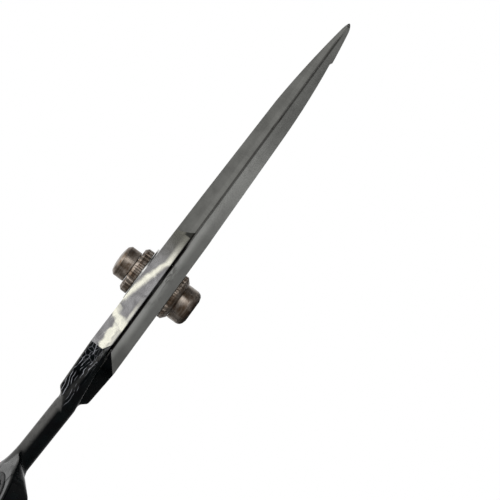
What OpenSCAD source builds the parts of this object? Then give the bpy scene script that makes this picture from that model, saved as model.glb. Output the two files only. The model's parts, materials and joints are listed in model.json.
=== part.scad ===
// Thinning shears: a straight blade over a toothed comb blade, joined by a tall
// pivot with a tension dial, with two coated handles whose rings are bent down.
// +X runs to the tips, +Z is the pivot axis. The origin is on the pivot axis, at the
// flat end of the bolt head. Laid on a table, the shears rest on it and on both rings,
// which brings the tips up by a few degrees.
// The straight half is the thumb half and lies above the parting plane.

/* [Blades] */
// Distance from the pivot axis to the blade tips
blade_len = 65; // [62:0.5:68]
// Distance from the pivot axis to the heel of the cutting edge
heel_x = 13; // [12:0.5:14]
// Half of each blade's width at the pivot
half_w = 6.2; // [6.1:0.1:6.4]
// Half of each blade's width at the tip
tip_w = 0.8; // [0.6:0.1:1]
// Thickness of the straight half on the pivot axis, from the parting plane
straight_h = 3.87; // [3.8:0.01:3.95]
// Thickness of the comb half at the pivot, from the parting plane
comb_h = 3.4; // [3.3:0.05:3.5]
// Angle of the straight blade's ground bevel
edge_bevel = 50; // [45:1:55]
// Angle of the slope from the straight blade's ridge to its spine
spine_slope = 14; // [10:1:16]
// Angle of the slope that thins the comb's teeth
comb_slope = 20; // [16:1:22]
// Gap between the parting plane and a blade's inner face
edge_gap = 0.05; // [0.04:0.01:0.08]
// Gap between the parting plane and the faces round the pivot
pivot_gap = 0.2; // [0.18:0.01:0.25]

/* [Comb] */
// Number of teeth
tooth_count = 28; // [20:1:28]
// Distance from one tooth to the next
tooth_pitch = 1.5; // [1.4:0.05:1.5]
// Width of a tooth
tooth_w = 0.9; // [0.7:0.05:1]
// Thickness of the teeth at their ends
tooth_end_h = 1.25; // [1:0.05:1.4]
// How far the solid tip stands proud of the toothed stretch
tip_step = 0.35; // [0.2:0.05:0.4]

/* [Pivot] */
// Radius of the bolt's plain shaft
bolt_r = 2.4; // [2.3:0.05:2.45]
// Radius of the bolt's threaded end
thread_r = 2; // [1.8:0.05:2.1]
// Radius of the bolt's domed head
head_r = 3.9; // [3.7:0.05:4]
// Height of the bolt's domed head
head_h = 3.63; // [3.4:0.01:3.8]
// Radius of the tension dial and of the lock collar
dial_r = 5; // [4.8:0.05:5.2]
// Height of the tension dial
dial_h = 1.9; // [1.85:0.05:2]
// Number of notches in the rim of the dial and of the collar
notch_count = 30; // [20:1:36]
// Radius of the upper lock cap
cap_r = 3.4; // [3.3:0.05:3.6]
// Height of the upper lock cap
cap_h = 3.3; // [3.1:0.05:3.5]
// Outer radius of the bushing
bush_r = 3.2; // [3:0.05:3.4]
// Radius of the thrust washer
thrust_r = 6; // [5.8:0.1:6]

/* [Handles] */
// Distance from the centre plane to each shank's axis
shank_y = 8.8; // [8.8:0.1:9.2]
// Radius of the thumb shank
thumb_shank_r = 2.25; // [2.1:0.05:2.3]
// Radius of the finger shank
finger_shank_r = 2.1; // [2:0.05:2.2]
// Distance from the pivot axis back to the thumb ring's centre
thumb_ring_x = 60; // [58:0.5:62]
// Distance from the pivot axis back to the finger ring's centre
finger_ring_x = 75; // [74:0.5:78]
// Angle by which the rings are bent down
ring_tilt = 13; // [11:0.5:15]
// Distance from a shank's axis out to its ring's centre
ring_offset = 6.5; // [6:0.5:7]
// Outer radius of the rings
ring_r = 14.5; // [14.3:0.1:14.8]
// Radius of the hole that holds an insert
ring_hole_r = 12; // [11.8:0.1:12.1]
// Thickness of the rings
ring_h = 5.2; // [5:0.1:5.4]

/* [Inserts and rest] */
// Radius of the finger holes
finger_hole_r = 10.5; // [10:0.1:10.8]
// Radius of the finger rest's rod
rest_r = 1.7; // [1.5:0.1:1.9]
// Radius of the finger rest's curve
rest_bend = 12; // [11:0.5:13]
// Sweep of the finger rest's curve
rest_sweep = 80; // [60:5:90]
// Radius of the rubber bumper
bumper_r = 1.5; // [1.3:0.1:1.6]

/* [Hidden] */
$fn = 64;
slack = 0.02; // clearance of pieces that are fixed to each other
run_fit = 0.05; // clearance of pieces that turn on each other
over = 1; // how far a cutter reaches past the surface it opens
far = 40; // larger than any section of the shears

// Outer faces of the two halves
straight_taper = 0.022;
comb_taper = 0.0175;
straight_sweep_x = 36;
comb_sweep_x = 38;
straight_sweep = 0.0025;
comb_sweep = 0.003;
comb_flat_x = 12;
inner_ramp_x = 6; // where the inner faces start to close in on the parting plane
edge_inset = 0.3; // how far the straight blade's edges lie inside its full width
teeth_x = heel_x + 1;
teeth_end_x = teeth_x + tooth_count * tooth_pitch;
tip_step_len = 0.6;
tooth_end_start = 4.6; // y of the tooth ends at the heel, and how far it falls to the tip
tooth_end_fall = 3;
tooth_root_start = -1.2; // y of the tooth roots at the heel, and how far it rises to the tip
tooth_root_rise = 0.4;
tooth_notch = 0.3; // depth of the notch that holds hair at a tooth's end
straight_heel_r = 8; // plan radii that the grinding wheels leave at the heels
spine_heel_r = 9;
comb_heel_r = 7;

// Where the halves are welded to their handles
straight_weld_x = -16.6;
straight_weld_low_x = -14.7;
straight_weld_z = 1.4;
comb_weld_x = -15.9;
comb_weld_low_x = -19.7;

// Pivot levels, from the parting plane up
thrust_h = 0.3;
thrust_z = straight_h - 0.02;
dial_z = thrust_z + thrust_h + 0.09;
dial_top = dial_z + dial_h;
cap_z = dial_top + 0.08;
cap_top = cap_z + cap_h;
collar_h = 1.6;
collar_top = -comb_h - slack;
head_top = collar_top - collar_h - slack;
head_end = head_top - head_h;
neck_r = 2.8;
bolt_top = cap_top - 1.1;
part_z = -head_end;
recess_h = 0.4;
recess_r = 4.2;
dome = 0.35;
rim_round = 0.6;

// Click detent in the dial
ball_r = 0.45;
ball_orbit = 2.72;
pocket_r = 0.5;
pocket_z = dial_z + recess_h + 0.15;
ball_z = cap_z - 0.3;
race_r = 0.5;
dimple_r = 0.55;
dimple_count = 10;
wire_r = 0.07;
coil_r = 0.34;
coil_turns = 3;
wire_sides = 8;
coil_steps = 12;

// Handles
shank_start_x = -21;
shank_z = 0.35; // height of both shanks' axes at their front ends
thumb_rise = 0.042;
finger_rise = 0.04;
block_front_x = -12;
block_flare_x = -16; // where the block starts to spread towards its shank
block_full_x = -27; // where it has reached the shank's outer side
block_end_x = -34;
step_x = -27.4;
step_low_x = -28.6;
web_x = 17.4; // from the ring's centre to where its web starts on the shank
web_len = 5;
web_spread = 4;
web_r = 13.6;
bore_lip = 0.3;
insert_h = ring_h + 0.4;
boss_r = 2.3;
boss_y = -2.5;
boss_x = 16.5;
stud_r = 1.2;
stud_depth = 3.2;
bumper_x = -(thumb_ring_x + finger_ring_x) / 2;
bumper_cup_r = 1.9;
bumper_stem_r = 0.9;
rubber_gap = 0.12;
rest_neck = 3;

// Height of each shank's axis above the parting plane at x
function thumb_axis_z(x) = shank_z + thumb_rise * (shank_start_x - x);
function finger_axis_z(x) = shank_z + finger_rise * (shank_start_x - x);
thumb_ring_z = thumb_axis_z(-48);
finger_ring_z = finger_axis_z(-68);
bumper_reach = sqrt(pow(ring_r, 2) - pow(bumper_x + thumb_ring_x, 2));
bumper_y = -shank_y + (bumper_reach - ring_offset) * cos(ring_tilt);
bumper_z = thumb_ring_z + (bumper_reach - ring_offset) * sin(ring_tilt);
stop_reach = sqrt(pow(ring_r, 2) - pow(bumper_x + finger_ring_x, 2));
stop_slope = (bumper_x + finger_ring_x) / stop_reach * cos(ring_tilt);
stop_y = shank_y - (stop_reach - ring_offset) * cos(ring_tilt)
    - (bumper_r - 0.3) * norm([tan(ring_tilt), stop_slope]);

// Thickness of each half at x, from the parting plane
function straight_top(x) = straight_h - straight_taper * x
    - straight_sweep * pow(max(0, x - straight_sweep_x), 2);
function comb_top(x) = comb_h - comb_taper * max(0, x - comb_flat_x)
    - comb_sweep * pow(max(0, x - comb_sweep_x), 2)
    + tip_step * min(1, max(0, (x - teeth_end_x) / tip_step_len));

// Share of the way from the heel to the tip
function along(x) = (x - heel_x) / (blade_len - heel_x);
// Plan lines of the blades: y as a function of x
function edge_y(x) = -half_w + edge_inset + (half_w - edge_inset - tip_w) * along(x);
function spine_y(x) = half_w - edge_inset - (half_w - edge_inset - tip_w) * pow(along(x), 1.25);
function back_y(x) = -half_w + (half_w - edge_inset - tip_w) * pow(along(x), 1.15);
function along_teeth(x) = (x - teeth_x) / (teeth_end_x - teeth_x);
function tooth_end_y(x) = tooth_end_start - tooth_end_fall * along_teeth(x);
function tooth_root_y(x) = tooth_root_start + tooth_root_rise * along_teeth(x);
function steps(a, b, n) = [for (i = [0:n]) a + (b - a) * i / n];
function ease(t) = let (u = min(1, max(0, t))) u * u * (3 - 2 * u);

// Puts a shape built from the parting plane up into the part's frame
module placed() {
    translate([0, 0, part_z]) children();
}

// A side-view outline in X and Z, made as wide as the whole shears
module side_solid(points) {
    translate([0, far, 0]) rotate([90, 0, 0]) linear_extrude(2 * far) polygon(points);
}

// A plan outline in X and Y, made as tall as the whole shears
module plan_solid(points) {
    translate([0, 0, -far / 2]) linear_extrude(far) polygon(points);
}

// A grinding cutter with a rounded heel: its flat face is the plane z = 0
module grinder(len, reach, heel_r, heel_y) {
    translate([heel_r, heel_y, 0]) cylinder(r = heel_r, h = far / 2);
    translate([heel_r, -far / 4, 0]) cube([len, reach + far / 4, far / 2]);
}

// ---- straight half ----

module straight_side() {
    outer = steps(straight_sweep_x, blade_len, 12);
    side_solid(concat(
        [[straight_weld_low_x, pivot_gap], [inner_ramp_x, pivot_gap], [heel_x, edge_gap]],
        [[blade_len, edge_gap]],
        [for (i = [len(outer) - 1:-1:0]) [outer[i], straight_top(outer[i])]],
        [[straight_weld_x, straight_top(straight_weld_x)], [straight_weld_x, straight_weld_z]]
    ));
}

module straight_plan() {
    rows = steps(heel_x, blade_len - tip_w, 10);
    plan_solid(concat(
        [[straight_weld_x - over, -half_w], [heel_x - 4, -half_w]],
        [[heel_x, edge_y(heel_x)], [blade_len - tip_w, edge_y(blade_len - tip_w)]],
        [for (a = [-60:30:60]) [blade_len + tip_w * (cos(a) - 1), tip_w * sin(a)]],
        [for (i = [len(rows) - 1:-1:0]) [rows[i], spine_y(rows[i])]],
        [[0, half_w], [straight_weld_x - over, half_w - 0.4]]
    ));
}

module straight_blade() {
    edge_angle = atan2(edge_y(blade_len) - edge_y(heel_x), blade_len - heel_x);
    edge_heel_x = heel_x - 2.2;
    ridge_y = edge_y(heel_x) + straight_h / tan(edge_bevel);
    color("silver") placed() difference() {
        intersection() {
            straight_side();
            straight_plan();
        }
        translate([edge_heel_x, edge_y(edge_heel_x), edge_gap])
            rotate([0, 0, edge_angle]) rotate([edge_bevel, 0, 0])
                grinder(blade_len, 9, straight_heel_r, 5.6);
        translate([heel_x - 1, ridge_y, straight_top(heel_x)])
            rotate([0, atan(straight_taper), edge_angle / 2]) rotate([-spine_slope, 0, 0])
                grinder(blade_len, 14, spine_heel_r, 5);
        cylinder(r = bush_r, h = far, center = true);
        translate([0, 0, thrust_z]) cylinder(r = thrust_r + 0.1, h = far);
    }
}

module pivot_bushing() {
    color("goldenrod") placed() difference() {
        translate([0, 0, pivot_gap]) cylinder(r = bush_r - slack / 2, h = thrust_z - pivot_gap);
        cylinder(r = bolt_r + run_fit, h = far, center = true);
    }
}

module thrust_washer() {
    color("gainsboro") placed() difference() {
        translate([0, 0, thrust_z + slack / 2]) cylinder(r = thrust_r, h = thrust_h);
        cylinder(r = bolt_r + run_fit, h = far, center = true);
    }
}

// ---- comb half ----

module comb_side() {
    outer = concat(steps(comb_sweep_x, teeth_end_x, 6), steps(teeth_end_x + tip_step_len, blade_len, 6));
    side_solid(concat(
        [[comb_weld_x, -pivot_gap], [inner_ramp_x, -pivot_gap], [heel_x, -edge_gap]],
        [[blade_len, -edge_gap]],
        [for (i = [len(outer) - 1:-1:0]) [outer[i], -comb_top(outer[i])]],
        [[comb_flat_x, -comb_h], [comb_weld_low_x, -comb_h]]
    ));
}

// The outline of one tooth and of the gap behind it, walked from tip to heel
function tooth_outline(x) = [
    [x + tooth_w / 2, tooth_root_y(x)],
    [x + tooth_w / 2, tooth_end_y(x)],
    [x, tooth_end_y(x) - tooth_notch],
    [x - tooth_w / 2, tooth_end_y(x)],
    [x - tooth_w / 2, tooth_root_y(x)]
];

module comb_plan() {
    rows = steps(heel_x, blade_len - tip_w, 10);
    first = teeth_x + tooth_pitch / 2;
    plan_solid(concat(
        [[comb_weld_low_x - over, -half_w + 0.4], [0, -half_w]],
        [for (x = rows) [x, back_y(x)]],
        [for (a = [-60:30:60]) [blade_len + tip_w * (cos(a) - 1), tip_w * sin(a) - 0.1]],
        [[blade_len - tip_w, tip_w], [teeth_end_x + 0.4, 1.6], [teeth_end_x + 0.4, tooth_root_y(teeth_end_x)]],
        [for (i = [tooth_count - 1:-1:0]) each tooth_outline(first + i * tooth_pitch)],
        [[teeth_x - 0.2, tooth_root_y(teeth_x)], [teeth_x - 0.2, 4.9], [heel_x - 3, half_w]],
        [[comb_weld_low_x - over, half_w]]
    ));
}

module comb_blade() {
    tooth_line = atan2(tooth_end_y(teeth_end_x) - tooth_end_y(teeth_x), teeth_end_x - teeth_x);
    color("darkgray") placed() difference() {
        intersection() {
            comb_side();
            comb_plan();
        }
        translate([heel_x - 1, tooth_end_y(heel_x - 1), -tooth_end_h]) mirror([0, 0, 1])
            rotate([0, 0, tooth_line]) rotate([-comb_slope, 0, 0]) mirror([0, 1, 0])
                grinder(teeth_end_x - heel_x - 6, 12, comb_heel_r, 5);
        cylinder(r = bolt_r + slack, h = far, center = true);
    }
}

// ---- pivot stack ----

module pivot_bolt() {
    color("rosybrown") placed() rotate_extrude() polygon([
        [0, head_end], [head_r - 1.6, head_end], [head_r - 0.7, head_end + 0.25],
        [head_r - 0.2, head_end + 0.7], [head_r, head_end + 1.3], [head_r, head_top],
        [neck_r, head_top], [neck_r, collar_top], [bolt_r, collar_top], [bolt_r, dial_z - 0.1],
        [thread_r, dial_z - 0.1], [thread_r, bolt_top - 0.3], [thread_r - 0.3, bolt_top], [0, bolt_top]
    ]);
}

// A coin-edge rim: shallow notches all round a disc
module notched(r, h) {
    depth = 0.16;
    linear_extrude(h) polygon([
        for (i = [0:notch_count - 1], k = [0:3])
            let (a = (i + k / 4) * 360 / notch_count, q = k < 2 ? r : r - depth) [q * cos(a), q * sin(a)]
    ]);
}

module lock_collar() {
    waist = head_r + 0.15;
    color("rosybrown") placed() intersection() {
        rotate_extrude() polygon([
            [neck_r + slack, collar_top - collar_h], [waist, collar_top - collar_h],
            [dial_r, collar_top - 0.75], [dial_r, collar_top - 0.15],
            [dial_r - 0.15, collar_top], [neck_r + slack, collar_top]
        ]);
        translate([0, 0, collar_top - collar_h]) notched(dial_r, collar_h);
    }
}

module lock_cap() {
    floor_z = bolt_top + 0.15;
    color("rosybrown") placed() difference() {
        rotate_extrude() polygon([
            [thread_r + slack, cap_z], [cap_r - 0.1, cap_z], [cap_r, cap_z + 0.1],
            [cap_r, cap_top - rim_round - dome], [cap_r - 0.18, cap_top - dome - 0.2],
            [cap_r - rim_round, cap_top - dome], [cap_r - 1.6, cap_top - 0.12],
            [cap_r - 2.6, cap_top], [0, cap_top], [0, floor_z], [thread_r + slack, floor_z]
        ]);
        translate([0, 0, ball_z]) rotate_extrude() translate([ball_orbit, 0]) circle(r = race_r, $fn = 32);
        for (i = [0:dimple_count - 1])
            rotate([0, 0, i * 360 / dimple_count]) translate([ball_orbit, 0, ball_z])
                sphere(r = dimple_r, $fn = 32);
    }
}

module ride_washer() {
    color("darkslategray") placed() difference() {
        cylinder(r = 5, h = 2 * pivot_gap - 2 * slack, center = true);
        cylinder(r = bolt_r + slack, h = far, center = true);
    }
}

module spring_washer() {
    low = thrust_z + thrust_h + slack;
    high = dial_z + recess_h - slack;
    sheet = 0.2;
    color("slategray") placed() rotate_extrude() polygon([
        [bolt_r + 0.2, high - sheet], [bolt_r + 0.2, high], [bolt_r + 0.6, high],
        [recess_r - 0.2, low + sheet], [recess_r - 0.2, low], [recess_r - 0.6, low]
    ]);
}

module tension_dial() {
    color("rosybrown") placed() difference() {
        intersection() {
            rotate_extrude() polygon([
                [thread_r + run_fit, dial_z], [dial_r - 0.1, dial_z], [dial_r, dial_z + 0.1],
                [dial_r, dial_top - 0.6], [dial_r - 0.6, dial_top], [thread_r + run_fit, dial_top]
            ]);
            translate([0, 0, dial_z]) notched(dial_r, dial_h);
        }
        translate([0, 0, dial_z - over]) cylinder(r = recess_r, h = over + recess_h);
        translate([ball_orbit, 0, pocket_z]) cylinder(r = pocket_r, h = far);
    }
}

module detent_ball() {
    color("white") placed() translate([ball_orbit, 0, ball_z]) sphere(r = ball_r - slack);
}

// Centre line of the detent spring
function coil_point(i, rise) = let (a = i * 360 / coil_steps)
    [coil_r * cos(a), coil_r * sin(a), rise * i / (coil_turns * coil_steps)];

module detent_spring() {
    low = pocket_z + wire_r + slack;
    rise = ball_z - ball_r - low - wire_r;
    count = coil_turns * coil_steps;
    rings = [
        for (i = [0:count])
            let (a = i * 360 / coil_steps, c = coil_point(i, rise))
                for (k = [0:wire_sides - 1])
                    let (b = k * 360 / wire_sides)
                        c + wire_r * [cos(b) * cos(a), cos(b) * sin(a), sin(b)]
    ];
    walls = [
        for (i = [0:count - 1], k = [0:wire_sides - 1])
            let (n = (k + 1) % wire_sides, p = i * wire_sides, q = p + wire_sides)
                each [[p + k, p + n, q + n], [p + k, q + n, q + k]]
    ];
    start = [for (k = [wire_sides - 1:-1:0]) k];
    finish = [for (k = [0:wire_sides - 1]) count * wire_sides + k];
    color("lightgray") placed() translate([ball_orbit, 0, low])
        polyhedron(points = rings, faces = concat([start], walls, [finish]), convexity = 4);
}

// ---- handles: side is -1 for the thumb half and +1 for the finger half ----

module in_ring_plane(side, ring_x, axis_z) {
    translate([-ring_x, side * shank_y, axis_z]) rotate([-side * ring_tilt, 0, 0])
        translate([0, side * ring_offset, 0]) scale([1, side, 1]) children();
}

module ring_band() {
    half = ring_h / 2;
    rotate_extrude($fn = 96) polygon([
        [ring_hole_r, -half + 0.2], [ring_hole_r + 0.2, -half], [ring_r - 1.1, -half],
        [ring_r - 0.35, -half + 0.45], [ring_r, -half + 1.3], [ring_r, half - 1.3],
        [ring_r - 0.35, half - 0.45], [ring_r - 1.1, half], [ring_hole_r + 0.2, half],
        [ring_hole_r, half - 0.2]
    ]);
}

// The web that spreads the shank into the ring, in the ring's plane
module ring_web(shank_r) {
    half = shank_r - 0.4;
    translate([0, 0, -half]) linear_extrude(2 * half) polygon(concat(
        [for (t = steps(0, 1, 4)) [web_x - web_len * t, -ring_offset + half + web_spread * t * t]],
        [[web_x / 2, -ring_offset]],
        [for (a = [-80:10:-50]) web_r * [cos(a), sin(a)]],
        [[web_x, -ring_offset - half]]
    ));
}

module shank(side, r, rise, end_x) {
    reach = shank_start_x - end_x;
    translate([shank_start_x, side * shank_y, shank_z]) {
        rotate([0, -90 + atan(rise), 0]) cylinder(r = r, h = norm([reach, rise * reach]));
        sphere(r = r);
    }
}

// Plan outline of the block that carries a blade's load out to its shank
module block_plan(side, r) {
    outer = shank_y + r - 0.1;
    inner = shank_y - r + 0.4;
    narrow = half_w - 0.4;
    plan_solid(concat(
        [[block_front_x, side * half_w]],
        [for (x = steps(block_flare_x, block_full_x, 8))
            [x, side * (half_w + (outer - half_w) * ease((block_flare_x - x) / (block_flare_x - block_full_x)))]],
        [[block_end_x, side * outer]],
        [for (x = steps(block_end_x, block_flare_x, 10))
            [x, side * (inner - (inner + narrow) * ease((x - block_end_x) / (block_flare_x - block_end_x)))]],
        [[block_front_x, -side * narrow]]
    ));
}

module bumper_axis() {
    translate([bumper_x, bumper_y, bumper_z]) rotate([-90, 0, 0]) children();
}

module thumb_handle() {
    end_z = thumb_axis_z(step_low_x) + thumb_shank_r;
    color("#23272a") placed() difference() {
        union() {
            intersection() {
                side_solid([
                    [straight_weld_low_x, pivot_gap], [straight_weld_x, straight_weld_z],
                    [straight_weld_x, straight_top(straight_weld_x)],
                    [step_x, straight_top(straight_weld_x) - 0.3], [step_low_x, end_z - 0.1],
                    [block_end_x, end_z - 0.1], [block_end_x, pivot_gap]
                ]);
                block_plan(-1, thumb_shank_r);
            }
            shank(-1, thumb_shank_r, thumb_rise, -thumb_ring_x + 11.5);
            in_ring_plane(-1, thumb_ring_x, thumb_ring_z) {
                ring_band();
                ring_web(thumb_shank_r);
            }
        }
        in_ring_plane(-1, thumb_ring_x, thumb_ring_z)
            cylinder(r = ring_hole_r, h = far, center = true);
        bumper_axis() {
            translate([0, 0, -2.2]) cylinder(r = bumper_stem_r + slack, h = far);
            translate([0, 0, -0.3]) cylinder(r = bumper_cup_r + slack, h = far);
        }
    }
}

module finger_handle() {
    end_z = finger_axis_z(step_low_x) - finger_shank_r;
    color("#23272a") placed() difference() {
        union() {
            intersection() {
                side_solid([
                    [comb_weld_x, -pivot_gap], [comb_weld_low_x, -comb_h], [step_x, -2.75],
                    [step_low_x, end_z + 0.1], [block_end_x, end_z + 0.1], [block_end_x, -pivot_gap]
                ]);
                block_plan(1, finger_shank_r);
            }
            shank(1, finger_shank_r, finger_rise, -finger_ring_x + 11.5);
            in_ring_plane(1, finger_ring_x, finger_ring_z) {
                ring_band();
                ring_web(finger_shank_r);
                translate([-boss_x, boss_y, 0]) rotate([0, 90, 0]) cylinder(r = boss_r, h = 3.2);
            }
        }
        in_ring_plane(1, finger_ring_x, finger_ring_z) {
            cylinder(r = ring_hole_r, h = far, center = true);
            translate([-boss_x - over, boss_y, 0]) rotate([0, 90, 0])
                cylinder(r = stud_r + slack, h = stud_depth + over);
        }
    }
}

// ---- inserts, bumper and finger rest ----

module insert_ring() {
    half = insert_h / 2;
    rim = ring_hole_r - slack;
    rotate_extrude($fn = 96) polygon([
        [finger_hole_r, -half + bore_lip], [finger_hole_r + bore_lip, -half], [rim, -half],
        [rim, half], [finger_hole_r + bore_lip, half], [finger_hole_r, half - bore_lip]
    ]);
}

module thumb_insert() {
    color("#3a3a3c") placed() in_ring_plane(-1, thumb_ring_x, thumb_ring_z) insert_ring();
}

module finger_insert() {
    color("#3a3a3c") placed() in_ring_plane(1, finger_ring_x, finger_ring_z) insert_ring();
}

module bumper_screw() {
    color("lightsteelblue") placed() bumper_axis() difference() {
        union() {
            translate([0, 0, -2]) cylinder(r = bumper_stem_r, h = 2);
            translate([0, 0, -0.3 + slack]) cylinder(r = bumper_cup_r, h = 1.4);
        }
        translate([0, 0, 0.1]) cylinder(r = bumper_r + slack, h = far);
    }
}

module bumper() {
    length = stop_y - bumper_y - 0.1 - slack - rubber_gap;
    color("#454548") placed() bumper_axis() translate([0, 0, 0.1 + slack]) rotate_extrude() polygon([
        [0, 0], [bumper_r, 0], [bumper_r, length - 0.5], [bumper_r - 0.2, length - 0.15],
        [bumper_r - 0.5, length], [0, length]
    ]);
}

module finger_rest_stud() {
    color("lightsteelblue") placed() in_ring_plane(1, finger_ring_x, finger_ring_z)
        translate([-boss_x - 2.4, boss_y, 0]) rotate([0, 90, 0])
            cylinder(r = stud_r, h = 2.4 + stud_depth - 0.2);
}

module finger_rest() {
    color("#23272a") placed() in_ring_plane(1, finger_ring_x, finger_ring_z)
        translate([-boss_x - slack, boss_y, 0]) difference() {
            union() {
                rotate([0, -90, 0]) cylinder(r1 = boss_r, r2 = rest_r + slack, h = rest_neck + 4 * slack);
                translate([-rest_neck, rest_bend, 0]) {
                    rotate([0, 0, 270 - rest_sweep]) rotate_extrude(angle = rest_sweep)
                        translate([rest_bend, 0]) circle(r = rest_r, $fn = 32);
                    rotate([0, 0, 270 - rest_sweep]) translate([rest_bend, 0, 0]) sphere(r = rest_r + 0.3);
                }
            }
            translate([over, 0, 0]) rotate([0, -90, 0]) cylinder(r = stud_r + slack, h = over + 2.6);
        }
}

comb_blade();
finger_handle();
finger_insert();
finger_rest();
finger_rest_stud();
pivot_bolt();
lock_collar();
lock_cap();
ride_washer();
spring_washer();
straight_blade();
thumb_handle();
thumb_insert();
bumper();
bumper_screw();
pivot_bushing();
thrust_washer();
tension_dial();
detent_ball();
detent_spring();
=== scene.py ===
"""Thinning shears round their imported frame: ground blades, coated handles and a turned pivot."""
import json
import math

import bmesh
import bpy
import numpy as np
from mathutils import Matrix, Vector


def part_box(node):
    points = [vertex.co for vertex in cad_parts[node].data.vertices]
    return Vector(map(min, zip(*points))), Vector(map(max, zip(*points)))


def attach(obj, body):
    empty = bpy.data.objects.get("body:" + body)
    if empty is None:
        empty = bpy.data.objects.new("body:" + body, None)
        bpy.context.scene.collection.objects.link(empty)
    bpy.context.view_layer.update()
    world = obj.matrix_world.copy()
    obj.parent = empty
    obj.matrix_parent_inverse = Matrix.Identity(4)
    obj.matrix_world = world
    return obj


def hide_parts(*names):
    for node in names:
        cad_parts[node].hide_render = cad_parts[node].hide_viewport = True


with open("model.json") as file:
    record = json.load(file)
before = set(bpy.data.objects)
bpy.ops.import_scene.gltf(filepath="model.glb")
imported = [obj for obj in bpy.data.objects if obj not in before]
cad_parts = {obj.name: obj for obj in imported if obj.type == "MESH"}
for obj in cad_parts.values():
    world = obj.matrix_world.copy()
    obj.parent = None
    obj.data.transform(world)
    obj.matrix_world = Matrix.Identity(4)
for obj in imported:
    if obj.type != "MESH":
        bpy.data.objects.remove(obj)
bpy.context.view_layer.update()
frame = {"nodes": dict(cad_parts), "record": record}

MM = 0.001
scene = bpy.context.scene


# ---- sizes, in millimetres: heights are from the parting plane between the halves ----

def span(node):
    """Lowest and highest corner of a CAD node, in millimetres of the row frame."""
    low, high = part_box(node)
    return np.array(low) / MM, np.array(high) / MM


def levels(node):
    """Lowest and highest level of a CAD node above the parting plane."""
    low, high = span(node)
    return low[2] - PARTING, high[2] - PARTING


PARTING = sum(end[2] for end in span("ride_washer")) / 2
FAR = 40.0
ROUNDING = 0.3

BLADE_LEN = span("straight_blade")[1][0]
HALF_W = -span("straight_blade")[0][1]
HEEL_X = 13.0
TIP_W = 0.8
TIP_ROUND = 1.7
EDGE_INSET = 0.3
STRAIGHT_H = 3.87
COMB_H = 3.4
PIVOT_GAP = 0.2
EDGE_GAP = 0.006
LAND_GAP = 0.005
LAND_IN = 5.0
LAND_Y = 0.9
INNER_RAMP_X = 6.0
STRAIGHT_TAPER = 0.022
STRAIGHT_SWEEP_X = 36.0
COMB_TAPER = 0.0175
COMB_FLAT_X = 12.0
COMB_SWEEP_X = 38.0
EDGE_BEVEL = math.radians(50)
SPINE_SLOPE = math.radians(14)
COMB_SLOPE = math.radians(20)

TEETH = 28
PITCH = 1.5
TOOTH_W = 0.9
TOOTH_END_H = 1.25
TOOTH_NOTCH = 0.3
TEETH_X = HEEL_X + 1
TEETH_END_X = TEETH_X + TEETH * PITCH
TIP_STEP = 0.35
TIP_STEP_LEN = 0.6

STRAIGHT_WELD = [(-14.7, PIVOT_GAP), (-16.6, 1.4), (-16.6, STRAIGHT_H + 16.6 * STRAIGHT_TAPER)]
COMB_WELD = [(-15.9, -PIVOT_GAP), (-19.7, -COMB_H)]

SHANK_Y = 8.8
SHANK_START_X = -21.0
SHANK_Z = 0.35
SHANK_NOSE_X = -15.5
SHANK_FULL_X = -30.0
THUMB_R = 2.25
THUMB_RISE = 0.042
FINGER_R = 2.1
FINGER_RISE = 0.04
BLOCK_FLARE_X = -16.0
BLOCK_FULL_X = -27.0
BLOCK_END_X = -34.0
STEP_X = -27.4
STEP_LOW_X = -28.6
RING_OUT = 14.5
RING_IN = 12.0
RING_H = 5.2
WEB_OUTER = math.radians(26)
WEB_INNER = math.radians(-60)
RACE_R = 0.5
BOSS = (16.5, -2.5)
BOSS_R = 2.3
REST_R = 1.7
REST_BEND = 12.0
REST_NECK = 3.0
REST_SWEEP = math.radians(80)


def ease(t):
    """0 to 1 with level ends."""
    t = np.clip(t, 0, 1)
    return t * t * (3 - 2 * t)


def along(x):
    """Share of the way from heel to tip."""
    return (x - HEEL_X) / (BLADE_LEN - HEEL_X)


def edge_y(x):
    return -HALF_W + EDGE_INSET + (HALF_W - EDGE_INSET - TIP_W) * along(x)


def spine_y(x):
    return HALF_W - EDGE_INSET - (HALF_W - EDGE_INSET - TIP_W) * along(x) ** 1.25


def back_y(x):
    return -HALF_W + (HALF_W - EDGE_INSET - TIP_W) * along(x) ** 1.15


def tooth_end_y(x):
    return 4.6 - 3 * (x - TEETH_X) / (TEETH_END_X - TEETH_X)


def tooth_root_y(x):
    return -1.2 + 0.4 * (x - TEETH_X) / (TEETH_END_X - TEETH_X)


def round_tip(x):
    """Share of its thickness that a blade keeps at x, where its tip rounds off."""
    return math.sqrt(max(0.02, 1 - (max(0, x - BLADE_LEN + TIP_ROUND) / TIP_ROUND) ** 2))


def straight_top(x):
    """Thickness of the straight half at x."""
    thin = STRAIGHT_H - STRAIGHT_TAPER * x - 0.0025 * max(0, x - STRAIGHT_SWEEP_X) ** 2
    return thin * round_tip(x)


def comb_top(x):
    """Thickness of the comb half at x."""
    thin = COMB_H - COMB_TAPER * max(0, x - COMB_FLAT_X) - 0.003 * max(0, x - COMB_SWEEP_X) ** 2
    return (thin + TIP_STEP * min(1, max(0, (x - TEETH_END_X) / TIP_STEP_LEN))) * round_tip(x)


def tip_rows():
    """Positions along a rounded tip, from its end."""
    return BLADE_LEN - TIP_ROUND * (1 - np.sin(np.radians(np.linspace(90, 10, 9))))


# ---- mesh helpers: shapes are made in millimetres and lifted into the frame at the end ----

def piece_of(mesh, name):
    """A new object of a mesh, in the scene."""
    piece = bpy.data.objects.new(name, mesh)
    scene.collection.objects.link(piece)
    return piece


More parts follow.
